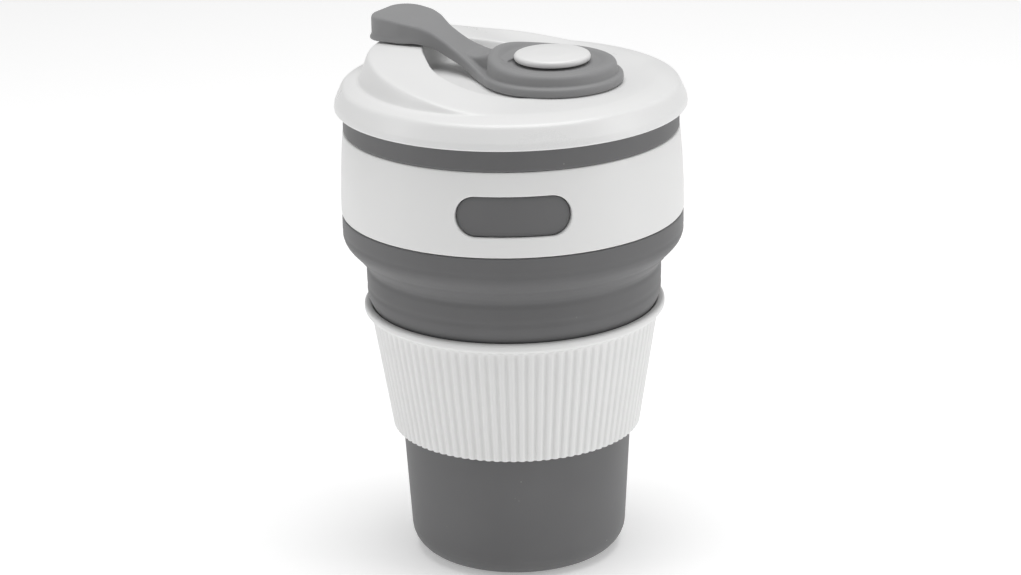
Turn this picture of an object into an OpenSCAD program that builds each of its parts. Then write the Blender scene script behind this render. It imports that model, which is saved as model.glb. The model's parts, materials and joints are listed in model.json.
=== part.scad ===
// Collapsible travel cup: a folding silicone cup, a white collar ring, a ribbed grip sleeve
// and a press-on lid whose silicone stopper swivels on a button.
// Millimetres, +Z up. The origin is the centre of the foot, on the surface the cup stands on.
// The pill window of the collar faces -Y. Each profile is a list of [radius, height] points.

/* [Lower tier] */
// Outer radius just above the rounded foot
base_low_r = 29.1; // [27:0.1:29.5]
// Outer radius at the lower fold line
base_top_r = 32.2; // [31.5:0.1:32.4]
// Height of the lower fold line
base_h = 60; // [58:0.5:61]
// Radius of the rounded foot
foot_round = 7; // [4:0.5:9]
// Thickness of the floor
floor_t = 3; // [2:0.5:4]
// Thickness of the standing walls
wall_t = 2.4; // [1.8:0.1:2.6]

/* [Folding wall] */
// Outer radius of the upright part
fold_r = 39.2; // [39:0.1:39.4]
// Height of the upper fold line
fold_top = 82; // [81:0.5:83]
// Thickness of the wall that rolls inside out
fold_t = 2; // [1.2:0.1:2.2]
// Radius of the bend from the cone to the upright part
fold_bend_r = 8; // [7:0.5:9]

/* [Upper tier] */
// Largest radius of the shoulder
shoulder_r = 45.3; // [45:0.1:45.5]
// Radius of the shoulder's bulge
shoulder_round = 8; // [7.5:0.1:8.3]
// Inner radius of the upper tier
bore_r = 41.6; // [41:0.1:41.7]
// Outer radius of the dark band under the lid
rim_r = 44.2; // [44:0.1:44.3]
// Height of the drinking edge
rim_top = 128; // [127:0.5:128.5]

/* [Collar ring] */
// Lower edge
collar_low = 95.6; // [95.4:0.1:96.5]
// Upper edge
collar_top = 117.9; // [116.5:0.1:118]
// Inner radius
collar_bore_r = 43.25; // [43.25:0.05:43.4]
// Outer radius at the upper edge
collar_top_r = 44.35; // [44.2:0.05:44.6]
// Width of the pill window
window_w = 30.5; // [20:0.5:34]
// Height of the pill window
window_h = 10.8; // [8:0.2:13]

/* [Grip sleeve] */
// Lower edge when the cup stands open
sleeve_low = 35.6; // [35.4:0.1:37]
// Outer radius at the lower edge
sleeve_low_r = 33.2; // [33:0.1:33.6]
// Outer radius where the ribs end
sleeve_top_r = 38.1; // [38:0.1:38.6]
// Outer radius of the rolled flange
flange_r = 40.2; // [39.8:0.1:40.6]
// Thickness of the sleeve
sleeve_t = 1.5; // [1.2:0.1:1.6]

/* [Lid] */
// Outer radius at the lower edge of the skirt
lid_r = 46.5; // [46.3:0.1:47]
// Lower edge of the skirt
lid_low = 123.9; // [123.5:0.1:124.5]
// Height of the flat deck
deck_z = 131.2; // [131:0.1:131.4]
// Thickness of the lid
lid_t = 1.8; // [1.4:0.1:1.9]
// Direction of the drinking spout, in degrees from +X
spout_angle = 149; // [0:1:360]
// Height of the flat land round the sip hole, above the deck
crest_h = 7.05; // [6.5:0.05:7.05]
// Distance of the sip hole from the axis
sip_x = 31.5; // [31.3:0.1:31.7]
// Length of the sip hole
sip_l = 14; // [10:0.5:15]
// Width of the sip hole
sip_w = 6.6; // [5.5:0.1:6.6]

/* [Stopper] */
// Distance of the swivel pin from the cup's axis
pivot_x = 12.8; // [12.6:0.1:13]
// Radius of the round flange
hub_r = 18.5; // [18:0.1:19]
// Radius of the raised step on the flange
step_r = 17; // [16:0.1:17.2]
// Height of the top of the step
step_z = 137; // [136.8:0.1:137.2]
// Radius of the white button
button_r = 10; // [8:0.25:11]
// Width of the arm's neck
neck_w = 9.2; // [8:0.2:9.6]
// Width of the head over the spout
head_w = 18; // [16:0.5:18]

/* [Hidden] */
$fn = 96;

silicone = [0.42, 0.42, 0.43];
white = [0.92, 0.92, 0.91];

// where the upper tier's bulge is centred
shoulder_c = [shoulder_r - shoulder_round, 91.2];
shoulder_top = 95.4;
neck_r = 43.2;
pad_r = 44.4;
pad_gap = 0.25;
window_z = (collar_low + collar_top) / 2 - 0.5;

// sleeve stations
rib_top = 63.8;
sleeve_mouth_r = 38.15;
sleeve_top = 70.5;

// lid: the deck's edge, the spout's wall and the slope of its crest
edge_round = 3;
edge_c = [42.2, deck_z - edge_round];
skirt_bore_r = 44.7;
spout_base_r = 39.2;
spout_top_r = 37;
crest_start = -13;
crest_lean = 9.92;
well_r = 23;
well_x = -2;
well_tip_r = 13;
well_tip_x = 11.5;
plug_ring_r = 41.1;
plug_ring_low = 120.5;
boss_low = 126.6;

// stopper: the pin, the hinge line on top of the arm's root, the head and its bung
pin_r = 4;
pin_gap = 0.08;
hub_low = deck_z + 0.2;
hub_edge = 133.9;
hinge_x = 20.5;
hinge_z = 136;
hinge_gap = 0.15;
head_low = 138.5;
head_top = 145;
head_end = 52;
bung_gap = 0.4;
bung_low = 135;

// points of an arc from angle a to angle b
function arc(c, r, a, b, n = 6) =
    [for (i = [0:n]) c + r * [cos(a + (b - a) * i / n), sin(a + (b - a) * i / n)]];

module turned(profile) {
    rotate_extrude() polygon(profile);
}

// a pill-shaped bar, its length along X and its height along Z
module pill(length, height, depth) {
    straight = length - height;
    cube([straight, depth, height], center = true);
    for (side = [-1, 1])
        translate([side * straight / 2, 0, 0])
            rotate([90, 0, 0])
                cylinder(h = depth, r = height / 2, center = true);
}

// an upright oblong with its length along Y
module oblong(length, width, low, top) {
    straight = length - width;
    translate([-width / 2, -straight / 2, low])
        cube([width, straight, top - low]);
    for (side = [-1, 1])
        translate([0, side * straight / 2, low])
            cylinder(h = top - low, r = width / 2);
}

// ---- silicone cup -------------------------------------------------------------

// lower tier with the floor, up to the lower fold line
module base_cup() {
    color(silicone)
        turned(concat(
            [[0, 0]],
            arc([base_low_r - foot_round, foot_round], foot_round, -90, 0),
            [[base_top_r, base_h], [base_top_r - wall_t, base_h]],
            arc([base_low_r - foot_round, foot_round + 0.6], foot_round + 0.6 - floor_t, 0, -90),
            [[0, floor_t]]));
}

// the wall that rolls inside out when the cup collapses
module fold_wall() {
    bend_c = [fold_r - fold_bend_r, base_h + 14.5];
    color(silicone)
        turned(concat(
            [[base_top_r, base_h]],
            arc(bend_c, fold_bend_r, -30, 0),
            [[fold_r + 0.4, fold_top], [fold_r + 0.4 - fold_t, fold_top]],
            arc(bend_c, fold_bend_r - fold_t, 0, -30),
            [[base_top_r - wall_t, base_h]]));
}

// upper tier: shoulder, neck under the collar, dark band and drinking edge; it is hollow enough
// above the fold line for the folding wall to stand inside it
module upper_cup() {
    color(silicone) {
        turned(concat(
            [[fold_r + 0.4 - fold_t, fold_top], [fold_r + 0.4, fold_top]],
            arc(shoulder_c, shoulder_round, -68, 0),
            [[shoulder_r, shoulder_top], [neck_r, shoulder_top], [neck_r, collar_top + 0.1],
             [rim_r, collar_top + 0.1], [rim_r, rim_top - 0.9], [rim_r - 0.9, rim_top],
             [bore_r + 0.9, rim_top], [bore_r + 0.2, rim_top - 0.9],
             [bore_r, shoulder_c[1]], [fold_r - 0.2, fold_top + 1.2]]));
        intersection() {
            turned([[neck_r - 0.5, collar_low], [pad_r, collar_low],
                    [pad_r, collar_top], [neck_r - 0.5, collar_top]]);
            translate([0, -neck_r, window_z])
                pill(window_w - 2 * pad_gap, window_h - 2 * pad_gap, 10);
        }
    }
}

// ---- hard rings ---------------------------------------------------------------

// white collar that stiffens the upper tier, with its pill window
module collar_ring() {
    color(white)
        difference() {
            turned([[collar_bore_r, collar_low], [shoulder_r - 0.5, collar_low],
                    [shoulder_r, collar_low + 0.5], [shoulder_r + 0.1, collar_low + 2.4],
                    [(shoulder_r + collar_top_r) / 2 + 0.2, (collar_low + collar_top) / 2],
                    [collar_top_r, collar_top - 0.5], [collar_top_r - 0.5, collar_top],
                    [collar_bore_r, collar_top]]);
            translate([0, -neck_r, window_z])
                pill(window_w, window_h, 12);
        }
}

// grip sleeve; it stands clear of the lower tier and its rolled flange faces the shoulder
module sleeve() {
    mouth = flange_r - sleeve_mouth_r;
    color(white)
        turned(concat(
            [[sleeve_low_r - sleeve_t, sleeve_low], [sleeve_low_r, sleeve_low],
             [sleeve_top_r, rib_top], [sleeve_top_r + 0.6, sleeve_top - 3]],
            arc([flange_r - mouth / 2, sleeve_top - mouth / 2], mouth / 2, -40, 180),
            [[sleeve_top_r - sleeve_t, rib_top]]));
}

// ---- lid ----------------------------------------------------------------------

module at_spout() {
    rotate([0, 0, spout_angle]) children();
}

// teardrop that the crest leaves round the stopper and under its arm, grown by a margin
module well(margin, low, top) {
    big = well_r + margin;
    small = well_tip_r + margin;
    lean = asin((big - small) / (well_tip_x - well_x));
    translate([0, 0, low])
        linear_extrude(top - low)
            polygon(concat(arc([well_x, 0], big, 90 - lean, 270 + lean, 24),
                           arc([well_tip_x, 0], small, lean - 90, 90 - lean, 12)));
}

// cone of the spout under its sloping crest and flat land, set in by a margin
module spout_block(margin, low, from_x) {
    high = deck_z + crest_h - margin;
    slope = (spout_base_r - spout_top_r) / crest_h;
    difference() {
        translate([0, 0, low])
            cylinder(h = high - low, r1 = spout_base_r - margin - slope * (low - deck_z),
                     r2 = spout_base_r - margin - slope * (high - deck_z));
        translate([crest_start, 0, deck_z - margin / cos(crest_lean)])
            rotate([0, -crest_lean, 0])
                translate([-100, -100, 0]) cube([200, 200, 40]);
        translate([from_x - 100, -100, low - 1]) cube([100, 200, 40]);
        well(margin, low - 1, high + 1);
    }
}

module lid_shell() {
    color(white)
        at_spout()
            difference() {
                union() {
                    turned(concat(
                        [[0, deck_z - lid_t], [edge_c[0], deck_z - lid_t],
                         [skirt_bore_r - 0.3, edge_c[1] - 0.4], [skirt_bore_r, lid_low],
                         [lid_r, lid_low], [lid_r - 0.3, lid_low + 1.9]],
                        arc(edge_c, edge_round, 10, 90),
                        [[0, deck_z]]));
                    spout_block(0, deck_z - 1, crest_start - 3);
                    difference() {
                        translate([0, 0, plug_ring_low])
                            cylinder(h = deck_z - 1 - plug_ring_low, r = plug_ring_r);
                        translate([0, 0, plug_ring_low - 1])
                            cylinder(h = 20, r = plug_ring_r - 1.4);
                    }
                    translate([-pivot_x, 0, boss_low])
                        cylinder(h = deck_z - 1 - boss_low, r = pin_r + 2.5);
                }
                spout_block(lid_t, deck_z - lid_t - 0.3, -6);
                translate([sip_x, 0, 0]) oblong(sip_l, sip_w, deck_z - 4, deck_z + 10);
                translate([-pivot_x, 0, boss_low - 1]) cylinder(h = 10, r = pin_r);
            }
}

module at_pivot() {
    at_spout() translate([-pivot_x, 0, 0]) children();
}

// white button: its stem passes the stopper, is pressed into the lid and ends in a barb
module pivot_button() {
    cap_low = step_z + 0.1;
    color(white)
        at_pivot()
            turned(concat(
                [[0, boss_low - 1.4], [pin_r, boss_low - 1.4], [pin_r + 0.7, boss_low - 0.1],
                 [pin_r, boss_low - 0.1], [pin_r, cap_low], [button_r, cap_low],
                 [button_r, cap_low + 0.9]],
                arc([button_r - 0.8, cap_low + 0.9], 0.8, 0, 60, 4),
                [[button_r / 2, cap_low + 2.1], [0, cap_low + 2.25]]));
}

// ---- stopper, one silicone moulding cut at its hinge line ------------------------

// round flange on the swivel pin, with the root of the arm
module stopper_hub() {
    color(silicone)
        at_pivot()
            difference() {
                union() {
                    turned(concat(
                        [[0, hub_low], [hub_r - 0.8, hub_low]],
                        arc([hub_r - 1.25, (hub_low + hub_edge) / 2], 1.25, -60, 60, 4),
                        [[step_r, hub_edge]],
                        arc([step_r - 2.4, step_z - 2], 2, 10, 90, 4),
                        [[0, step_z]]));
                    translate([10, -neck_w / 2, hub_edge - 1.4])
                        cube([hinge_x - 10, neck_w, hinge_z - hub_edge + 1.4]);
                }
                translate([0, 0, hub_low - 1]) cylinder(h = 10, r = pin_r + pin_gap);
            }
}

// plan of the arm, from the hinge line to the rounded end of the head
module arm_plan() {
    half = head_w / 2;
    corner = 4;
    edge = concat(
        [[hinge_x + hinge_gap, neck_w / 2], [35.5, neck_w / 2 + 0.4], [41, half - 0.2]],
        arc([head_end - corner, half - corner], corner, 90, 0, 5));
    polygon(concat(edge, [for (i = [len(edge) - 1:-1:0]) [edge[i][0], -edge[i][1]]]));
}

// side of the arm: it climbs from the root to the head, which rides just over the spout
module arm_side() {
    polygon([[hinge_x + hinge_gap, hinge_z], [26.5, 137.9], [32.6, 140.8], [37.8, 143.4],
             [43, head_top - 0.4], [47, head_top], [head_end - 1, head_top],
             [head_end, head_top - 1], [head_end, head_low + 0.4],
             [head_end - 0.4, head_low], [37.8, head_low], [36, 137.9], [33, 136.95],
             [30, 135.6], [27, 134.5], [24, 133.6], [hinge_x + hinge_gap, 132.5]]);
}

module stopper_arm() {
    color(silicone)
        at_pivot()
            intersection() {
                translate([0, 0, hub_low]) linear_extrude(20) arm_plan();
                rotate([90, 0, 0])
                    linear_extrude(head_w + 4, center = true) arm_side();
            }
}

// bung under the head, a loose fit in the sip hole
module stopper_bung() {
    color(silicone)
        at_spout()
            translate([sip_x, 0, 0])
                oblong(sip_l - 2 * bung_gap, sip_w - 2 * bung_gap, bung_low, head_low);
}

base_cup();
fold_wall();
upper_cup();
collar_ring();
sleeve();
lid_shell();
pivot_button();
stopper_hub();
stopper_arm();
stopper_bung();
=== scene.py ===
"""Looks of the collapsible travel cup: the folding silicone cup, its collar ring and grip sleeve,
the sip lid, and the stopper that swivels on a button. Lengths are in millimetres until a mesh is made."""

import json
import math

import bmesh
import bpy
import numpy as np
from mathutils import Matrix, Vector


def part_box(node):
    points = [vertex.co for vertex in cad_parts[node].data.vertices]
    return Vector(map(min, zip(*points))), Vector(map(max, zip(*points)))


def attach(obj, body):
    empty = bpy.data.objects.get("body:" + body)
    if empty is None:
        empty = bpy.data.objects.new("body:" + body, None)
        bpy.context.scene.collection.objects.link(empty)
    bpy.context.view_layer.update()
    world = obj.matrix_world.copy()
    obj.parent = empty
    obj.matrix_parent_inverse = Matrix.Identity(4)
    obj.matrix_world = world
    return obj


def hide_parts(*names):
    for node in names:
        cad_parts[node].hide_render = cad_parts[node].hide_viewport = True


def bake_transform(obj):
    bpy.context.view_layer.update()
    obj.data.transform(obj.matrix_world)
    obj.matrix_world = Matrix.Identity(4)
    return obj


MM = 0.001

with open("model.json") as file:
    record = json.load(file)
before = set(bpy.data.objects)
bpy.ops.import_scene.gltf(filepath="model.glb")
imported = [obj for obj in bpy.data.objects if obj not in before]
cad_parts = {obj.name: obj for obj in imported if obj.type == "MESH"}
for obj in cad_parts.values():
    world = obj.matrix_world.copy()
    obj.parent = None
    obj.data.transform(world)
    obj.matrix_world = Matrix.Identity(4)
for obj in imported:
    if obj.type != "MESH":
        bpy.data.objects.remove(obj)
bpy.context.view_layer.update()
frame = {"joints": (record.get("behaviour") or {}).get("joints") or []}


# ---- sizes taken from the frame ------------------------------------------------------

def low_of(node):
    """Low corner of a node's box, in millimetres."""
    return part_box(node)[0] / MM


def high_of(node):
    """High corner of a node's box, in millimetres."""
    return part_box(node)[1] / MM


joints = {joint["name"]: joint for joint in frame["joints"]}
PIVOT = Vector(joints["stopper_swivel"]["pos_m"]) / MM
SPOUT_TURN = math.atan2(-PIVOT.y, -PIVOT.x)
PIVOT_X = -PIVOT.xy.length

FOLD_LOW = high_of("base_cup").z
FOLD_HIGH = high_of("fold_wall").z
FOOT_R = high_of("base_cup").x
FOLD_R = high_of("fold_wall").x - 0.4
SHOULDER_R = high_of("upper_cup").x
RIM_TOP = high_of("upper_cup").z
COLLAR_LOW = low_of("collar_ring").z
COLLAR_TOP = high_of("collar_ring").z
SLEEVE_LOW = low_of("sleeve").z
SLEEVE_TOP = high_of("sleeve").z
FLANGE_R = high_of("sleeve").x
LID_R = high_of("lid_shell").x
RING_LOW = low_of("lid_shell").z
CREST_TOP = high_of("lid_shell").z
HUB_LOW = low_of("stopper_hub").z
HEAD_TOP = high_of("stopper_arm").z
BUNG_LOW = low_of("stopper_bung").z
HEAD_LOW = high_of("stopper_bung").z
BUTTON_TOP = high_of("pivot_button").z
BUTTON_R = (high_of("pivot_button").x - low_of("pivot_button").x) / 2

# ---- outlines ------------------------------------------------------------------------


def rounded(corners, closed=True, step=0.7, turn=math.radians(12)):
    """Outline through (radius, height, rounding) corners, with no stretch longer than step."""
    count = len(corners)
    outline = []
    for i, (r, z, rounding) in enumerate(corners):
        here = np.array([r, z], float)
        if rounding == 0 or (not closed and i in (0, count - 1)):
            outline.append(here)
            continue
        back = np.array(corners[i - 1][:2]) - here
        on = np.array(corners[(i + 1) % count][:2]) - here
        back /= np.linalg.norm(back)
        on /= np.linalg.norm(on)
        inside = math.acos(float(np.clip(back @ on, -1, 1)))
        middle = (back + on) / np.linalg.norm(back + on)
        centre = here + middle * rounding / math.sin(inside / 2)
        tangent = rounding / math.tan(inside / 2)
        first, last = here + back * tangent - centre, here + on * tangent - centre
        start = math.atan2(first[1], first[0])
        sweep = math.atan2(last[1], last[0]) - start
        sweep = (sweep + math.pi) % math.tau - math.pi
        pieces = max(3, math.ceil(abs(sweep) / turn - 0.001))
        for k in range(pieces + 1):
            angle = start + sweep * k / pieces
            outline.append(centre + rounding * np.array([math.cos(angle), math.sin(angle)]))
    filled = []
    for a, b in pairs_along(outline, closed):
        parts = max(1, math.ceil(np.linalg.norm(b - a) / step))
        filled += [a + (b - a) * k / parts for k in range(parts)]
    if not closed:
        filled.append(outline[-1])
    return np.array(filled)


def pairs_along(points, closed):
    """Neighbouring points of an outline, with the last and the first paired if it is closed."""
    pairs = list(zip(points[:-1], points[1:]))
    if closed:
        pairs.append((points[-1], points[0]))
    return pairs


def eased(x, xs, ys):
    """Smooth curve through the (xs, ys) stations that never overshoots them."""
    xs, ys = np.array(xs, float), np.array(ys, float)
    slope = np.diff(ys) / np.diff(xs)
    lean = np.zeros_like(ys)
    rising = slope[:-1] * slope[1:] > 0
    lean[1:-1][rising] = 2 / (1 / slope[:-1][rising] + 1 / slope[1:][rising])
    lean[0], lean[-1] = slope[0], slope[-1]
    i = np.clip(np.searchsorted(xs, x) - 1, 0, len(xs) - 2)
    width = xs[i + 1] - xs[i]
    t = np.clip((x - xs[i]) / width, 0, 1)
    return ((1 + 2 * t) * (1 - t) ** 2 * ys[i] + t * (1 - t) ** 2 * width * lean[i]
            + t ** 2 * (3 - 2 * t) * ys[i + 1] + t ** 2 * (t - 1) * width * lean[i + 1])


def smooth(t):
    """Eases from 0 to 1 as t goes from 0 to 1."""
    t = np.clip(t, 0, 1)
    return t * t * (3 - 2 * t)


# ---- meshes --------------------------------------------------------------------------


def make_piece(name, points, faces):
    """Adds a mesh object to the scene from points in millimetres."""
    mesh = bpy.data.meshes.new(name)
    mesh.from_pydata((np.asarray(points) * MM).tolist(), [], faces)
    piece = bpy.data.objects.new(name, mesh)
    bpy.context.scene.collection.objects.link(piece)
    tidy_up(piece)
    return piece


def tidy_up(piece):
    """Welds seams and poles, turns every face outwards and shades it smooth."""
    mesh = piece.data
    work = bmesh.new()
    work.from_mesh(mesh)
    bmesh.ops.remove_doubles(work, verts=work.verts, dist=0.002 * MM)
    bmesh.ops.dissolve_degenerate(work, edges=work.edges, dist=0.0005 * MM)
    bmesh.ops.recalc_face_normals(work, faces=work.faces)
    work.to_mesh(mesh)
    work.free()
    mesh.shade_smooth()


def ring_faces(rings, count, closed):
    """Quads between rings of count points each, closed round the last ring if asked."""
    faces = []
    for i in range(rings if closed else rings - 1):
        a, b = i * count, ((i + 1) % rings) * count
        for k in range(count):
            n = (k + 1) % count
            faces.append((a + k, a + n, b + n, b + k))
    return faces


def lathe(name, outline, columns, relief=None, centre=(0, 0)):
    """Solid turned from a closed (radius, height) outline; relief adds to the radius."""
    angles = np.arange(columns) * math.tau / columns
    radius = np.repeat(outline[:, :1], columns, 1)
    if relief is not None:
        radius = radius + relief(angles[None, :], outline[:, :1], outline[:, 1:])
    height = np.repeat(outline[:, 1:], columns, 1)
    across = centre[0] + radius * np.cos(angles)
    along = centre[1] + radius * np.sin(angles)
    points = np.stack([across, along, height], 2)
    return make_piece(name, points.reshape(-1, 3), ring_faces(len(outline), columns, True))


def bake_modifiers(piece):
    """Applies the piece's modifiers to its mesh."""
    graph = bpy.context.evaluated_depsgraph_get()
    mesh = bpy.data.meshes.new_from_object(piece.evaluated_get(graph))
    piece.modifiers.clear()
    piece.data = mesh
    tidy_up(piece)


def carve(piece, tool, operation):
    """Cuts the tool out of the piece, or joins it on, and removes the tool."""
    modifier = piece.modifiers.new("carve", "BOOLEAN")
    modifier.operation = operation
    modifier.solver = "EXACT"
    modifier.object = tool
    bake_modifiers(piece)
    bpy.data.objects.remove(tool)


def join(piece, *others):
    """Puts the others' meshes into the piece's as separate shells."""
    work = bmesh.new()
    for part in (piece, *others):
        work.from_mesh(part.data)
    work.to_mesh(piece.data)
    work.free()
    for other in others:
        bpy.data.objects.remove(other)
    tidy_up(piece)


def at_spout(points):
    """Turns points from the lid's own frame, +X towards the spout, into the cup's."""
    c, s = math.cos(SPOUT_TURN), math.sin(SPOUT_TURN)
    points = np.asarray(points, float)
    return np.stack([c * points[..., 0] - s * points[..., 1],
                     s * points[..., 0] + c * points[..., 1], points[..., 2]], -1)


def mark_edges(piece, tight=0.7):
    """Stores how sharply each point stands out (edge) or lies in a corner (hollow), from 0 to 1."""
    mesh = piece.data
    count = len(mesh.vertices)
    place, normal = np.zeros(count * 3), np.zeros(count * 3)
    mesh.vertices.foreach_get("co", place)
    mesh.vertices.foreach_get("normal", normal)
    place, normal = place.reshape(-1, 3), normal.reshape(-1, 3)
    ends = np.zeros(len(mesh.edges) * 2, np.int64)
    mesh.edges.foreach_get("vertices", ends)
    a, b = ends.reshape(-1, 2).T
    along = place[b] - place[a]
    length = np.maximum((along ** 2).sum(1), (0.02 * MM) ** 2)
    bend = np.zeros(count)
    np.add.at(bend, a, -(along * normal[a]).sum(1) / length)
    np.add.at(bend, b, (along * normal[b]).sum(1) / length)
    degree = np.maximum(np.bincount(ends, minlength=count), 1)
    bend = bend / degree * tight * MM
    for label, value in (("edge", bend), ("hollow", -bend)):
        layer = mesh.attributes.new(label, "FLOAT", "POINT")
        layer.data.foreach_set("value", smooth((value - 0.05) / 0.6).astype(np.float32))


# ---- silicone cup --------------------------------------------------------------------

WALL = 2.4
FOLD_T = 2.0
FLOOR_T = 3.0
FOOT_ROUND = 7.0
FOOT_FACE_R = 29.1
SHOULDER_LOW = 88.6
BORE_R = 41.6
BORE_LOW = 90.5
NECK_R = 43.2
BAND_R = 44.25
# height, depth and width of each ring pressed into the silicone
CREASES = ((90.7, 0.14, 0.4), (85.2, 0.2, 0.45), (80.9, 0.16, 0.5), (75.6, 0.1, 0.6))


def creases(angle, radius, height):
    """Faint rings pressed into the outside of the silicone, where it has been folded."""
    dip = sum(deep * np.exp(-((height - z) / wide) ** 2) for z, deep, wide in CREASES)
    wander = 1 + 0.35 * np.sin(3 * angle + 0.7) * np.sin(5 * angle)
    return np.where(radius > FOLD_R - 0.6, -dip, 0) * wander


def silicone_cup():
    """The whole folding moulding, with the pad that shows in the collar's window."""
    draft = (FOOT_R - FOOT_FACE_R) / (FOLD_LOW - FOOT_ROUND)
    foot_corner = FOOT_FACE_R - draft * FOOT_ROUND
    corners = [
        (0, 0.6, 0),
        (foot_corner - FOOT_ROUND - 3, 0.6, 0.4),
        (foot_corner - FOOT_ROUND - 2, 0, 0.4),
        (foot_corner, 0, FOOT_ROUND),
        (FOOT_R, FOLD_LOW, 2.5),
        (FOLD_R, FOLD_LOW + 12.4, 8),
        (FOLD_R + 0.1, FOLD_HIGH - 0.1, 2.2),
        (SHOULDER_R, SHOULDER_LOW, 5),
        (SHOULDER_R - 0.05, COLLAR_LOW - 0.15, 0.5),
        (NECK_R, COLLAR_LOW - 0.15, 0.2),
        (NECK_R, COLLAR_TOP + 0.1, 0.2),
        (BAND_R, COLLAR_TOP + 0.1, 0.4),
        (BAND_R, RIM_TOP, 1.1),
        (BORE_R + 0.2, RIM_TOP, 1.1),
        (BORE_R, BORE_LOW, 4),
        (FOLD_R - 0.1, FOLD_HIGH + 1.4, 1),
        (FOLD_R - FOLD_T, FOLD_HIGH - 0.6, 1),
        (FOLD_R - FOLD_T, FOLD_LOW + 12, 6),
        (FOOT_R - WALL, FOLD_LOW, 2),
        (foot_corner - WALL + 0.2, FLOOR_T, 4.6),
        (0, FLOOR_T, 0),
    ]
    cup = lathe("silicone_cup", rounded(corners, step=0.6), 216, creases)
    join(cup, window_pad())
    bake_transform(cup)
    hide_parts("base_cup", "fold_wall", "upper_cup")
    return cup


# ---- collar ring and its window ------------------------------------------------------

WINDOW_W = 30.5
WINDOW_H = 10.8
WINDOW_Z = (COLLAR_LOW + COLLAR_TOP) / 2 - 0.5
COLLAR_BORE_R = 43.25
PAD_R = 44.35
PAD_GAP = 0.22
COLLAR_EDGE = 0.55
PATCH_X = 19.0
PATCH_Z = 8.2
COLUMNS = 300


def collar_r(z):
    """Outer radius of the slightly barrelled collar."""
    return SHOULDER_R + 0.07 - 0.0026 * (z - COLLAR_LOW - 2.4) ** 2


def on_wall(x, z, radius):
    """Point x round from the front of the collar, at that height and radius."""
    angle = x / SHOULDER_R - math.pi / 2
    return np.stack([radius * np.cos(angle), radius * np.sin(angle), z + 0 * x], -1)


def pill_point(x, z, grow):
    """The nearest point of the window's outline, grown by a margin, to each (x, z) about its centre."""
    half = (WINDOW_W - WINDOW_H) / 2
    anchor = np.clip(x, -half, half)
    out = np.stack([x - anchor, z], -1)
    out /= np.linalg.norm(out, axis=-1, keepdims=True)
    reach = WINDOW_H / 2 + grow
    return anchor + out[..., 0] * reach, out[..., 1] * reach


def patch_border():
    """Points round the rectangle about the window, on the collar's own columns and rows."""
    columns = int(round(PATCH_X / (math.tau * SHOULDER_R / COLUMNS)))
    xs = np.arange(-columns, columns + 1) * math.tau * SHOULDER_R / COLUMNS
    zs = np.linspace(-PATCH_Z, PATCH_Z, 15)
    return xs, zs, np.concatenate([
        np.stack([xs[:-1], np.full(len(xs) - 1, zs[0])], 1),
        np.stack([np.full(len(zs) - 1, xs[-1]), zs[:-1]], 1),
        np.stack([xs[:0:-1], np.full(len(xs) - 1, zs[-1])], 1),
        np.stack([np.full(len(zs) - 1, xs[0]), zs[:0:-1]], 1)])


def window_pad():
    """Raised silicone pad that fills the window, a little below the collar's face."""
    _, _, border = patch_border()
    x, z = border.T
    inset = -WINDOW_H / 2
    layers = [(inset, NECK_R - 0.6), (-PAD_GAP, NECK_R - 0.6), (-PAD_GAP, PAD_R - 0.4),
              (-PAD_GAP - 0.12, PAD_R - 0.12), (-PAD_GAP - 0.4, PAD_R), (-1.2, PAD_R + 0.03),
              (-2.5, PAD_R + 0.05), (-4, PAD_R + 0.05), (inset, PAD_R + 0.05)]
    rings = [on_wall(px, pz + WINDOW_Z, radius)
             for grow, radius in layers for px, pz in [pill_point(x, z, grow)]]
    return make_piece("window_pad", np.concatenate(rings), ring_faces(len(rings), len(border), False))


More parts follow.
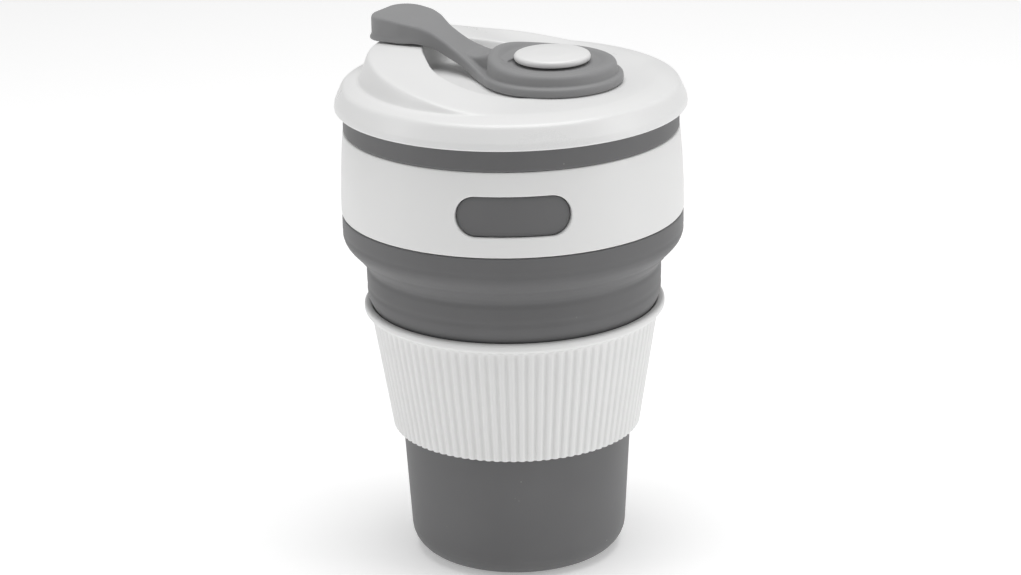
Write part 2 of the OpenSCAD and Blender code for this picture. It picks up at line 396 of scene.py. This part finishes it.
def collar_ring():
    """White ring with rounded edges and the pill window through it."""
    xs, zs, border = patch_border()
    low, top = COLLAR_LOW, COLLAR_TOP
    rows = WINDOW_Z + zs
    lower = rounded([(COLLAR_BORE_R, rows[0], 0), (COLLAR_BORE_R, low, 0.3),
                     (collar_r(low), low, COLLAR_EDGE), (collar_r(rows[0]), rows[0], 0)], closed=False)
    upper = rounded([(collar_r(rows[-1]), rows[-1], 0), (collar_r(top), top, COLLAR_EDGE),
                     (COLLAR_BORE_R, top, 0.3), (COLLAR_BORE_R, rows[-1], 0)], closed=False)
    outer = np.stack([collar_r(rows), rows], 1)
    inner = np.stack([np.full(len(rows), COLLAR_BORE_R), rows], 1)[::-1]
    for part in (lower, upper):
        outside = part[:, 0] > COLLAR_BORE_R + 1
        flat = outside & (part[:, 1] > low + 0.8) & (part[:, 1] < top - 0.8)
        part[flat, 0] = collar_r(part[flat, 1])
    angles = np.arange(COLUMNS) * math.tau / COLUMNS - math.pi / 2
    half = (len(xs) - 1) // 2
    beside = np.arange(half, COLUMNS - half + 1) % COLUMNS
    points, faces = [], []

    def add_grid(outline, columns, closed):
        """Adds the outline turned over these columns, right round if closed."""
        start = sum(len(p) for p in points)
        turned = angles[columns]
        grid = np.stack([outline[:, :1] * np.cos(turned), outline[:, :1] * np.sin(turned),
                         np.repeat(outline[:, 1:], len(columns), 1)], 2)
        points.append(grid.reshape(-1, 3))
        wide = len(columns)
        for i in range(len(outline) - 1):
            for k in range(wide if closed else wide - 1):
                n = (k + 1) % wide
                faces.append(tuple(start + j for j in
                                   (i * wide + k, i * wide + n, (i + 1) * wide + n, (i + 1) * wide + k)))

    add_grid(lower, np.arange(COLUMNS), True)
    add_grid(upper, np.arange(COLUMNS), True)
    add_grid(outer, beside, False)
    add_grid(inner, beside, False)

    x, z = border.T
    near = pill_point(x, z, 0.6)
    rings = []
    for t in (0, 0.3, 0.6, 0.85, 1):
        px, pz = x + (near[0] - x) * t, z + (near[1] - z) * t
        rings.append(on_wall(px, pz + WINDOW_Z, collar_r(WINDOW_Z + pz)))
    for grow, sink in ((0.35, 0), (0.2, 0.04), (0.08, 0.12), (0.01, 0.25), (0, 0.45)):
        px, pz = pill_point(x, z, grow)
        rings.append(on_wall(px, pz + WINDOW_Z, collar_r(WINDOW_Z + pz) - sink))
    for grow, radius in ((0, COLLAR_BORE_R + 0.3), (0, COLLAR_BORE_R)):
        px, pz = pill_point(x, z, grow)
        rings.append(on_wall(px, pz + WINDOW_Z, np.full(len(px), radius)))
    for t in (0.5, 1):
        px, pz = pill_point(x, z, 0)
        px, pz = px + (x - px) * t, pz + (z - pz) * t
        rings.append(on_wall(px, pz + WINDOW_Z, np.full(len(px), COLLAR_BORE_R)))
    start = sum(len(p) for p in points)
    points.append(np.concatenate(rings))
    faces += [tuple(start + j for j in face) for face in ring_faces(len(rings), len(border), False)]

    collar = make_piece("collar", np.concatenate(points), faces)
    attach(collar, "upper")
    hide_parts("collar_ring")
    return collar


# ---- grip sleeve ---------------------------------------------------------------------

SLEEVE_LOW_R = 33.25
SLEEVE_TOP_R = 38.15
RIB_TOP = 67.6
RIBS = 92
RIB_DEPTH = 0.5
SLEEVE_MOUTH_R = 38.15
SLEEVE_T = 1.5


def ribbing(angle, radius, height):
    """Round-backed ribs with narrow grooves, on the outside only, dying out under the flange."""
    line = SLEEVE_LOW_R + (SLEEVE_TOP_R - SLEEVE_LOW_R) * (height - SLEEVE_LOW) / (RIB_TOP - SLEEVE_LOW)
    across = np.abs((angle * RIBS / math.tau) % 1 * 2 - 1)
    groove = smooth((across - 0.3) / 0.6)
    outside = smooth((radius - line + 0.7) / 0.5)
    return -RIB_DEPTH * groove * outside * smooth((RIB_TOP - height) / 0.9)


def grip_sleeve():
    """White ribbed sleeve with a rolled flange at its top."""
    corners = [
        (SLEEVE_LOW_R - SLEEVE_T, SLEEVE_LOW, 0.2), (SLEEVE_LOW_R, SLEEVE_LOW, 0.35),
        (SLEEVE_TOP_R + 0.25, RIB_TOP, 0.3), (FLANGE_R, RIB_TOP + 0.9, 0.9),
        (FLANGE_R - 0.05, SLEEVE_TOP, 0.9), (SLEEVE_MOUTH_R, SLEEVE_TOP, 0.7),
        (SLEEVE_MOUTH_R - 0.4, SLEEVE_TOP - 3.2, 2.5), (SLEEVE_TOP_R - SLEEVE_T, RIB_TOP - 3, 6),
    ]
    sleeve = lathe("grip_sleeve", rounded(corners, step=0.8), RIBS * 9, ribbing)
    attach(sleeve, "sleeve")
    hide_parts("sleeve")
    return sleeve


# ---- lid -----------------------------------------------------------------------------

DECK_Z = HUB_LOW - 0.2
LID_T = 1.8
SKIRT_LOW = 123.9
SKIRT_BORE_R = 44.7
EDGE_START_R = 42.2
EDGE_ROUND_R = 37.6
EDGE_ROUND = 17.0
WELL_R = 23.0
WELL_X = -2.0
WELL_TIP_R = 13.0
WELL_TIP_X = 11.5
CREST_START = -13.0
CREST_SLOPE = 0.175
CREST_FADE = 1.0
# the spout's far side lies lower than its near side: by how much, from where, and over what width
FAR_SINK = 2.6
FAR_START = 8.0
FAR_REACH = 22.0
SPOUT_FOOT_R = 40.15
SPOUT_STEEP = 3.2
SPOUT_FILLET = 1.2
SIP_X = 31.5
SIP_L = 14.0
SIP_W = 6.6
SEAL_R = 41.1
SEAL_T = 1.4
BOSS_R = 6.5
BOSS_LOW = 126.6
PIN_HOLE_R = 4.02
STEM_R = 3.98
LID_COLUMNS = 256


def soft_max(a, b, bend):
    """The larger of two heights, with the corner between them rounded."""
    return 0.5 * (a + b + np.sqrt((a - b) ** 2 + bend ** 2))


def spout_rise(points, radius):
    """Height above the deck: a sloping crest and the flat land round the sip hole, walled round outside."""
    x, y = points.T
    level = 0 * x
    ramp = (x - CREST_START) * CREST_SLOPE - FAR_SINK * smooth((-y - FAR_START) / FAR_REACH)
    crest = -soft_max(-soft_max(ramp, level, CREST_FADE), level - (CREST_TOP - DECK_Z), 0.5)
    inward = SPOUT_FOOT_R - radius
    fillet = np.clip(inward, 0, SPOUT_FILLET) ** 2 * SPOUT_STEEP / (2 * SPOUT_FILLET)
    wall = fillet + (inward - np.clip(inward, 0, SPOUT_FILLET)) * SPOUT_STEEP
    return soft_max(-soft_max(-crest, -wall, 1.8), level, 0.3)


def edge_drop(radius):
    """How far the deck has rounded off at a radius."""
    past = np.clip(radius - EDGE_ROUND_R, 0, None)
    return EDGE_ROUND - np.sqrt(EDGE_ROUND ** 2 - past ** 2)


def lid_height(points, raised, margin):
    """Height of the lid's face, or of its underside margin in from the face."""
    radius = np.hypot(points[:, 0], points[:, 1]) + margin
    deck = DECK_Z - margin - edge_drop(np.minimum(radius, EDGE_START_R))
    return deck + raised * spout_rise(points, radius)


def well_ring(grow):
    """Teardrop about the stopper and under its arm, grown by a margin."""
    span = WELL_TIP_X - WELL_X
    lean = math.asin((WELL_R - WELL_TIP_R) / span)
    straight = math.sqrt(span ** 2 - (WELL_R - WELL_TIP_R) ** 2)
    lengths = [WELL_TIP_R * (math.pi / 2 - lean), straight, WELL_R * (math.pi + 2 * lean), straight,
               WELL_TIP_R * (math.pi / 2 - lean)]
    marks = np.concatenate([[0], np.cumsum(lengths)])
    along = np.arange(LID_COLUMNS) / LID_COLUMNS * marks[-1]
    normal = np.interp(along, marks, [0, math.pi / 2 - lean, math.pi / 2 - lean,
                                      3 * math.pi / 2 + lean, 3 * math.pi / 2 + lean, math.tau])
    centre = np.interp(along, marks, [WELL_TIP_X, WELL_TIP_X, WELL_X, WELL_X, WELL_TIP_X, WELL_TIP_X])
    radius = np.interp(along, marks, [WELL_TIP_R, WELL_TIP_R, WELL_R, WELL_R, WELL_TIP_R, WELL_TIP_R]) + grow
    return np.stack([centre + radius * np.cos(normal), radius * np.sin(normal)], 1)


# distance out from the well's edge, and the share of the face's height reached there
WELL_WALL = ((-1.9, 0), (-1.4, 0.01), (-1.0, 0.04), (-0.7, 0.1), (-0.48, 0.22), (-0.32, 0.4), (-0.19, 0.58),
             (-0.06, 0.76), (0.06, 0.88), (0.2, 0.955), (0.38, 0.99), (0.65, 1))


def lid_face(margin, edge_r):
    """Rings of the lid's top, from its middle out to the skirt; with a margin, of its underside."""
    rings = []
    inner = well_ring(WELL_WALL[0][0] + margin)
    middle = np.array([WELL_X, 0])
    for share in (0, 0.25, 0.5, 0.75, 0.92):
        ring = middle + (inner - middle) * share
        rings.append((ring, 0))
    for grow, raised in WELL_WALL:
        rings.append((well_ring(grow + margin), raised))
    brow = well_ring(WELL_WALL[-1][0] + margin)
    direction = brow / np.linalg.norm(brow, axis=1, keepdims=True)
    for share in (0.07, 0.18, 0.3, 0.42, 0.54, 0.66, 0.77, 0.86, 0.93, 1):
        rings.append((brow + (direction * edge_r - brow) * share, 1))
    for radius in np.arange(edge_r, EDGE_START_R, 0.15)[1:]:
        rings.append((direction * radius, 1))
    return [np.column_stack([ring, lid_height(ring, raised, margin)]) for ring, raised in rings], direction


def lid():
    """White lid with its sealing ring, the boss that takes the button's stem, and the sip hole."""
    top, direction = lid_face(0, 36.2)
    under, _ = lid_face(LID_T, 34.6)
    face = DECK_Z - edge_drop(EDGE_START_R)
    skirt = rounded([
        (EDGE_START_R, face, 0), (44.3, face - 0.59, 2), (46.2, SKIRT_LOW + 1.9, 2), (LID_R, SKIRT_LOW, 0.5),
        (SKIRT_BORE_R, SKIRT_LOW, 0.4), (SKIRT_BORE_R - 0.35, face - LID_T - 1, 1.6),
        (EDGE_START_R, face - LID_T, 0)], closed=False)
    sides = [np.column_stack([direction * radius, np.full(LID_COLUMNS, height)]) for radius, height in skirt]
    rings = top + sides[1:-1] + under[::-1]
    shell = make_piece("lid", at_spout(np.concatenate(rings)), ring_faces(len(rings), LID_COLUMNS, False))

    seal = lathe("seal_ring", rounded([
        (SEAL_R - SEAL_T, RING_LOW, 0.4), (SEAL_R - 0.15, RING_LOW, 0.4), (SEAL_R, RING_LOW + 2, 1),
        (SEAL_R, DECK_Z - 1, 0), (SEAL_R - SEAL_T, DECK_Z - 1, 0)]), 192)
    boss = lathe("boss", rounded([
        (0, BOSS_LOW, 0), (BOSS_R, BOSS_LOW, 0.4), (BOSS_R, DECK_Z - 1, 0), (0, DECK_Z - 1, 0)]),
        96, centre=PIVOT.xy)
    pin_hole = lathe("pin_hole", rounded([
        (0, 120, 0), (PIN_HOLE_R, 120, 0), (PIN_HOLE_R, 140, 0), (0, 140, 0)], step=5),
        96, centre=PIVOT.xy)
    carve(shell, seal, "UNION")
    carve(shell, boss, "UNION")
    carve(shell, pin_hole, "DIFFERENCE")
    carve(shell, oblong("sip_hole", SIP_L, SIP_W, [(0, DECK_Z - 1.2), (0, CREST_TOP + 3)]), "DIFFERENCE")
    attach(shell, "lid")
    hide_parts("lid_shell")
    return shell


def oblong(name, length, width, layers):
    """Upright solid over the sip hole's place; each layer is (inset, height)."""
    half = (length - width) / 2
    around = np.linspace(0, math.tau, 64, endpoint=False)
    rings = [np.full((64, 3), [SIP_X, 0, layers[0][1]])]
    for inset, height in layers:
        radius = width / 2 - inset
        y = radius * np.sin(around) + np.sign(np.round(np.sin(around), 6)) * half
        rings.append(np.stack([SIP_X + radius * np.cos(around), y, np.full(64, height)], 1))
    rings.append(np.full((64, 3), [SIP_X, 0, layers[-1][1]]))
    return make_piece(name, at_spout(np.concatenate(rings)), ring_faces(len(rings), 64, False))


def pivot_button():
    """White button with a shallow dome; its stem goes down to a barb under the lid's boss."""
    cap_low = BUTTON_TOP - 2.25
    barb_top = BOSS_LOW - 0.1
    corners = [(0, barb_top - 1.3, 0), (4, barb_top - 1.3, 0.3), (4.7, barb_top, 0.2),
               (STEM_R, barb_top, 0), (STEM_R, cap_low, 0.1), (BUTTON_R, cap_low, 0.75),
               (BUTTON_R, cap_low + 1.75, 0.95), (5, BUTTON_TOP, 12), (0, BUTTON_TOP, 0)]
    button = lathe("swivel_button", rounded(corners, step=0.5), 144, centre=PIVOT.xy)
    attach(button, "lid")
    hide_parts("pivot_button")
    return button


# ---- stopper -------------------------------------------------------------------------

HUB_R = 18.5
STEP_R = 17.0
STEP_Z = 137.0
PIN_R = 4.1
DISH_R = 12.6
DISH_DEPTH = 0.45
FLANGE_T = 2.6
HEAD_END = 52.0
HEAD_CORNER = 4.6
LIP_RISE = 2.3
LIP_REACH = math.radians(46)
# distance from the pin, half width, underside and top of the arm, whose root fans out into the flange
ARM = np.array([
    (9, 15.2, HUB_LOW, 133.8), (12, 13.8, HUB_LOW, 133.85), (15, 11.5, 131.45, 134.0),
    (18, 9.2, 131.7, 134.5), (21, 7.4, 132.7, 135.5), (24, 6.1, 133.6, 136.7),
    (27, 5.2, 134.5, 138.0), (30, 4.8, 135.6, 139.6), (33, 5.0, 136.95, 141.2),
    (36, 6.2, 137.9, 142.7), (38.4, 7.6, HEAD_LOW, 143.6), (42.5, 8.9, HEAD_LOW, 144.5),
    (47, 9.0, HEAD_LOW, HEAD_TOP), (HEAD_END, 9.0, HEAD_LOW, HEAD_TOP)])
# the same for the web that carries the arm's top up to the lip of the hub
WEB = np.array([
    (9, 8.0, 133, 137.6), (15, 7.4, 133, 138.2), (18, 6.2, 133, 137.3),
    (21, 5.0, 133.4, 136.6), (24, 4.2, 134, 136.9), (28, 3.4, 135, 138.0)])
ARM_START = 9
STATION_GAP = 0.75
VOXEL = 0.25
FOOT_FLARE = 0.35


def section(half, low, top, corner, flare):
    """Rounded rectangle across the arm with a flared foot, as (across, height) points."""
    side = [(half + flare, low, 0.4), (half + flare, low + 0.75, 0.3), (half, low + 1.5, 0.4),
            (half, top, corner)]
    mirrored = [(-across, height, bend) for across, height, bend in reversed(side)]
    return rounded(mirrored + side, step=50, turn=math.radians(18))


def loft(name, table, stations, corner):
    """Solid through the sections of a table of the arm's sizes, its far end rounded in plan."""
    rings = []
    far = table[-1, 0]
    for u in stations:
        half, low, top = (eased(u, table[:, 0], table[:, k]) for k in (1, 2, 3))
        past = max(0.0, u - (far - corner))
        half -= corner - math.sqrt(max(corner ** 2 - past ** 2, 0.01))
        head = float(smooth((u - 35) / 6))
        shape = section(half, low, top, min(0.95, half - 0.1), 0.02 + FOOT_FLARE * head)
        near_end, near_foot = smooth((u - far + 5) / 5), smooth((low + 1.6 - shape[:, 1]) / 0.8)
        end_flare = FOOT_FLARE * near_end * near_foot * head
        rings.append(np.column_stack([u + PIVOT_X + end_flare, shape]))
    for end in (0, -1):
        centre = rings[end].mean(0)
        rings.insert(0 if end == 0 else len(rings), np.repeat(centre[None], len(rings[end]), 0))
    return make_piece(name, at_spout(np.concatenate(rings)), ring_faces(len(rings), len(rings[0]), False))


def round_end(far, corner):
    """Stations that close in on the rounded far end."""
    return far - corner * (1 - np.sin(np.radians(np.arange(0, 91, 9))))


def raise_lip(hub):
    """Lifts the rim of the hub where the arm pulls it up."""
    count = len(hub.data.vertices)
    place = np.zeros(count * 3)
    hub.data.vertices.foreach_get("co", place)
    place = place.reshape(-1, 3)
    x, y = place[:, 0] / MM - PIVOT.x, place[:, 1] / MM - PIVOT.y
    off = (np.arctan2(y, x) - SPOUT_TURN + math.pi) % math.tau - math.pi
    rise = LIP_RISE * np.exp(-(off / LIP_REACH) ** 2) * smooth((np.hypot(x, y) - 9.5) / 5.5)
    place[:, 2] += rise * smooth((place[:, 2] / MM - 134.2) / 2.2) * MM
    hub.data.vertices.foreach_set("co", place.ravel())


def stopper():
    """Flange, arm, head and bung as one soft moulding."""
    hub = lathe("stopper", rounded([
        (PIN_R, HUB_LOW, 0), (HUB_R, HUB_LOW, 0.9), (HUB_R, HUB_LOW + FLANGE_T, 0.9),
        (STEP_R, HUB_LOW + FLANGE_T, 0.1), (STEP_R - 0.35, STEP_Z, 1.3), (DISH_R + 1.6, STEP_Z, 3),
        (DISH_R, STEP_Z - DISH_DEPTH, 3), (PIN_R, STEP_Z - DISH_DEPTH, 0)],
        step=0.5), 192, centre=PIVOT.xy)
    raise_lip(hub)
    along_arm = [np.arange(ARM_START, 47, STATION_GAP), round_end(HEAD_END, HEAD_CORNER)]
    arm = loft("arm", ARM, np.concatenate(along_arm), HEAD_CORNER)
    along_web = [np.arange(ARM_START, 26, STATION_GAP), round_end(WEB[-1, 0], 2)]
    web = loft("web", WEB, np.concatenate(along_web), 2)
    bung = oblong("bung", SIP_L - 0.8, SIP_W - 0.8, [
        (0.5, BUNG_LOW), (0.1, BUNG_LOW + 0.35), (0, BUNG_LOW + 0.8), (0, HEAD_LOW + 1)])
    join(hub, arm, web, bung)
    remesh = hub.modifiers.new("remesh", "REMESH")
    remesh.mode = "VOXEL"
    remesh.voxel_size = VOXEL * MM
    relax = hub.modifiers.new("relax", "SMOOTH")
    relax.factor = 0.5
    relax.iterations = 4
    bake_modifiers(hub)
    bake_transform(hub)
    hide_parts("stopper_hub", "stopper_arm", "stopper_bung")
    return hub


# ---- materials -----------------------------------------------------------------------


def node(tree, kind, **settings):
    """Adds a node; a setting in lower case is a property, any other is an input socket."""
    made = tree.nodes.new(kind)
    for name, value in settings.items():
        if name[0].islower():
            setattr(made, name, value)
        else:
            set_input(tree, made, name.replace("_", " "), value)
    return made


def set_input(tree, made, name, value):
    """Links or sets an input, given by its name or by I and its number."""
    socket = made.inputs[int(name[1:])] if name[1:].isdigit() else made.inputs[name]
    if isinstance(value, bpy.types.NodeSocket):
        tree.links.new(value, socket)
    else:
        socket.default_value = value


def new_group(name, inputs, outputs):
    """Empty shader group with number inputs and outputs, and the sockets inside it."""
    tree = bpy.data.node_groups.new(name, "ShaderNodeTree")
    for label, value in inputs.items():
        socket = tree.interface.new_socket(label, in_out="INPUT", socket_type="NodeSocketFloat")
        socket.default_value = value
    for label in outputs:
        tree.interface.new_socket(label, in_out="OUTPUT", socket_type="NodeSocketFloat")
    return tree, tree.nodes.new("NodeGroupInput").outputs, tree.nodes.new("NodeGroupOutput").inputs


def math_node(tree, operation, a, b=0.0, clamp=False):
    """Output of a math node on two values or sockets."""
    return node(tree, "ShaderNodeMath", operation=operation, use_clamp=clamp, I0=a, I1=b).outputs[0]


def moulded_grain():
    """Fine skin of a moulding: Height for bump and slow Cloud for colour and gloss, both 0 to 1."""
    tree, given, result = new_group(
        "moulded_grain", {"Grain": 2600.0, "Cloud Size": 45.0}, ["Height", "Cloud"])
    place = node(tree, "ShaderNodeTexCoord").outputs["Object"]
    fine = node(
        tree, "ShaderNodeTexNoise", Vector=place, Scale=given["Grain"], Detail=5.0, Roughness=0.62)
    slow = node(
        tree, "ShaderNodeTexNoise", Vector=place, Scale=given["Cloud Size"], Detail=3.0, Roughness=0.5)
    tree.links.new(fine.outputs[0], result["Height"])
    tree.links.new(slow.outputs[0], result["Cloud"])
    return tree


def rub_and_hollow_shade():
    """Where handling has rubbed the edges, and painted shade that darkens the corners and hollows."""
    tree, given, result = new_group("rub_and_hollow_shade", {"Rub": 0.5, "Dirt": 0.5}, ["Rubbed", "PaintedShade"])
    place = node(tree, "ShaderNodeTexCoord").outputs["Object"]
    broken = node(tree, "ShaderNodeTexNoise", Vector=place, Scale=380.0, Detail=4.0).outputs[0]
    broken = math_node(tree, "MULTIPLY_ADD", broken, 1.4, clamp=True)
    # the hollow mask darkens corners and hollows as painted shade; the edge mask is rubbed wear
    for mark, amount, label in (("edge", "Rub", "Rubbed"), ("hollow", "Dirt", "PaintedShade")):
        mask = node(tree, "ShaderNodeAttribute", attribute_name=mark).outputs["Fac"]
        mask = math_node(tree, "MULTIPLY", mask, broken)
        tree.links.new(math_node(tree, "MULTIPLY", mask, given[amount]), result[label])
    return tree


def lint_and_smudges():
    """Sparse specks of lint, and the smudges that fingers leave in the gloss."""
    tree, given, result = new_group("lint_and_smudges", {"Lint": 0.5, "Smudge": 0.5}, ["Specks", "Smudges"])
    place = node(tree, "ShaderNodeTexCoord").outputs["Object"]
    cells = node(tree, "ShaderNodeTexVoronoi", Vector=place, Scale=260.0, Randomness=1.0).outputs["Distance"]
    dots = node(tree, "ShaderNodeMapRange", Value=cells, From_Min=0.07, From_Max=0.03).outputs[0]
    where = node(tree, "ShaderNodeTexNoise", Vector=place, Scale=55.0, Detail=2.0).outputs[0]
    where = node(tree, "ShaderNodeMapRange", Value=where, From_Min=0.56, From_Max=0.66).outputs[0]
    dots = math_node(tree, "MULTIPLY", dots, where)
    tree.links.new(math_node(tree, "MULTIPLY", dots, given["Lint"]), result["Specks"])
    blur = node(tree, "ShaderNodeTexNoise", Vector=place, Scale=28.0, Detail=4.0, Distortion=0.6).outputs[0]
    blur = node(tree, "ShaderNodeMapRange", Value=blur, From_Min=0.42, From_Max=0.68).outputs[0]
    tree.links.new(math_node(tree, "MULTIPLY", blur, given["Smudge"]), result["Smudges"])
    return tree


GRAIN, RUB_AND_SHADE, LINT = moulded_grain(), rub_and_hollow_shade(), lint_and_smudges()


def mix(tree, share, a, b):
    """Colour that goes from a to b as share goes from 0 to 1."""
    made = node(tree, "ShaderNodeMix", data_type="RGBA")
    set_input(tree, made, "I0", share)
    set_input(tree, made, "I6", a)
    set_input(tree, made, "I7", b)
    return made.outputs[2]


def finish_of(name, colour, cloudy, rubbed, hollow_shade, lint, roughness, grain, bump, marks, shader):
    """A moulded finish: clouded colour, rubbed edges, painted shade in the corners and hollows, lint, smudges
    and fine grain.
    """
    material = bpy.data.materials.new(name)
    material.use_nodes = True
    tree = material.node_tree
    surface = tree.nodes["Principled BSDF"]
    skin = node(tree, "ShaderNodeGroup", node_tree=GRAIN, Grain=grain, Cloud_Size=marks["cloud"])
    worn_and_shaded = node(tree, "ShaderNodeGroup", node_tree=RUB_AND_SHADE, Rub=marks["rub"], Dirt=marks["dirt"])
    dusty = node(tree, "ShaderNodeGroup", node_tree=LINT, Lint=marks["lint"], Smudge=marks["smudge"])
    shade = mix(tree, skin.outputs["Cloud"], (*colour, 1), (*cloudy, 1))
    shade = mix(tree, worn_and_shaded.outputs["Rubbed"], shade, (*rubbed, 1))
    # painted shade: the hollows and corners take the darker given colour
    shade = mix(tree, worn_and_shaded.outputs["PaintedShade"], shade, (*hollow_shade, 1))
    shade = mix(tree, dusty.outputs["Specks"], shade, (*lint, 1))
    tree.links.new(shade, surface.inputs["Base Color"])
    gloss = math_node(tree, "MULTIPLY_ADD", skin.outputs["Height"], 0.08)
    tree.nodes[-1].inputs[2].default_value = roughness
    smudged = math_node(tree, "MULTIPLY", dusty.outputs["Smudges"], 0.14)
    tree.links.new(math_node(tree, "SUBTRACT", gloss, smudged, clamp=True), surface.inputs["Roughness"])
    relief = node(tree, "ShaderNodeBump", Height=skin.outputs["Height"], Strength=bump, Distance=0.08 * MM)
    tree.links.new(relief.outputs[0], surface.inputs["Normal"])
    for label, value in shader.items():
        surface.inputs[label].default_value = value
    return material


def dress(piece, material):
    """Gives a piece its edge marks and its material."""
    mark_edges(piece)
    piece.data.materials.clear()
    piece.data.materials.append(material)


SOFT_SHEEN = {"Sheen Weight": 0.14, "Sheen Roughness": 0.45, "Specular IOR Level": 0.4}
HARD_GLOSS = {"Specular IOR Level": 0.5}


def all_materials():
    """The cup's dark silicone, the stopper's paler one, the rings' plastic and the lid's."""
    # the fourth colour of each finish is the painted shade laid into its hollows and corners
    cup_silicone = finish_of(
        "cup_silicone", (0.121, 0.121, 0.123), (0.141, 0.141, 0.143), (0.19, 0.19, 0.193), (0.09, 0.09, 0.09),
        (0.42, 0.41, 0.40), 0.6, 2400.0, 0.3,
        {"cloud": 60.0, "rub": 0.5, "dirt": 0.4, "lint": 0.5, "smudge": 0.6}, SOFT_SHEEN)
    stopper_silicone = finish_of(
        "stopper_silicone", (0.235, 0.235, 0.238), (0.265, 0.265, 0.268), (0.33, 0.33, 0.333),
        (0.16, 0.16, 0.16), (0.5, 0.49, 0.48), 0.58, 2600.0, 0.3,
        {"cloud": 90.0, "rub": 0.6, "dirt": 0.4, "lint": 0.35, "smudge": 0.5}, SOFT_SHEEN)
    ring_plastic = finish_of(
        "ring_plastic", (0.775, 0.775, 0.77), (0.805, 0.805, 0.80), (0.87, 0.87, 0.865), (0.62, 0.615, 0.60),
        (0.55, 0.54, 0.52), 0.44, 3200.0, 0.22,
        {"cloud": 40.0, "rub": 0.6, "dirt": 0.5, "lint": 0.15, "smudge": 0.8}, HARD_GLOSS)
    lid_plastic = finish_of(
        "lid_plastic", (0.785, 0.785, 0.782), (0.805, 0.805, 0.802), (0.87, 0.87, 0.867), (0.66, 0.655, 0.64),
        (0.55, 0.54, 0.52), 0.36, 3600.0, 0.14,
        {"cloud": 35.0, "rub": 0.5, "dirt": 0.5, "lint": 0.12, "smudge": 1.0}, HARD_GLOSS)
    return cup_silicone, stopper_silicone, ring_plastic, lid_plastic


# ---- studio --------------------------------------------------------------------------


def plain_material(name, colour, roughness):
    """Even colour with no pattern, for the studio only."""
    material = bpy.data.materials.new(name)
    material.use_nodes = True
    surface = material.node_tree.nodes["Principled BSDF"]
    surface.inputs["Base Color"].default_value = (*colour, 1)
    surface.inputs["Roughness"].default_value = roughness
    return material


def floor():
    """Pale floor that glows a little, so that the ground stays white."""
    reach = 5.0 / MM
    corners = [(-reach, -reach, 0), (reach, -reach, 0), (reach, reach, 0), (-reach, reach, 0)]
    plane = make_piece("floor", corners, [(0, 1, 2, 3)])
    white = plain_material("floor_white", (0.9, 0.9, 0.9), 0.7)
    surface = white.node_tree.nodes["Principled BSDF"]
    surface.inputs["Emission Color"].default_value = (1, 1, 1, 1)
    surface.inputs["Emission Strength"].default_value = 0.28
    plane.data.materials.append(white)


def softbox(name, place, target, size, power):
    """Rectangular area light aimed at a target."""
    light = bpy.data.objects.new(name, bpy.data.lights.new(name, "AREA"))
    light.data.shape = "RECTANGLE"
    light.data.size, light.data.size_y = size
    light.data.energy = power
    light.location = place
    light.rotation_euler = (Vector(target) - Vector(place)).to_track_quat("-Z", "Y").to_euler()
    bpy.context.scene.collection.objects.link(light)


def studio():
    """Even white surroundings with a softbox overhead and one at each side."""
    world = bpy.data.worlds.new("studio")
    world.use_nodes = True
    world.node_tree.nodes["Background"].inputs["Color"].default_value = (1, 1, 1, 1)
    world.node_tree.nodes["Background"].inputs["Strength"].default_value = 0.34
    bpy.context.scene.world = world
    middle = (0, 0, 0.08)
    softbox("overhead", (0.05, 0.0, 1.1), middle, (0.9, 0.9), 8.2)
    softbox("right", (1.0, -0.25, 0.3), middle, (0.5, 0.9), 2.75)
    softbox("left", (-1.0, -0.2, 0.4), middle, (0.4, 0.9), 1.7)
    bpy.context.scene.view_settings.view_transform = "Standard"


def camera():
    """Camera a little above the lid's level, in front of the collar's window."""
    lens = bpy.data.cameras.new("camera")
    lens.sensor_width = 36
    lens.lens = 113.57
    view = bpy.data.objects.new("camera", lens)
    down, roll = math.radians(18.72), math.radians(-1.156)
    turn = Matrix.Rotation(math.pi / 2 - down, 4, "X") @ Matrix.Rotation(roll, 4, "Z")
    view.matrix_world = Matrix.Translation((-0.00105, -0.81641, 0.34932)) @ turn
    bpy.context.scene.collection.objects.link(view)
    bpy.context.scene.camera = view


# ---- the cup -------------------------------------------------------------------------

camera()
studio()
floor()

CUP_SILICONE, STOPPER_SILICONE, RING_PLASTIC, LID_PLASTIC = all_materials()
dress(silicone_cup(), CUP_SILICONE)
dress(collar_ring(), RING_PLASTIC)
dress(grip_sleeve(), RING_PLASTIC)
dress(lid(), LID_PLASTIC)
dress(pivot_button(), LID_PLASTIC)
dress(stopper(), STOPPER_SILICONE)
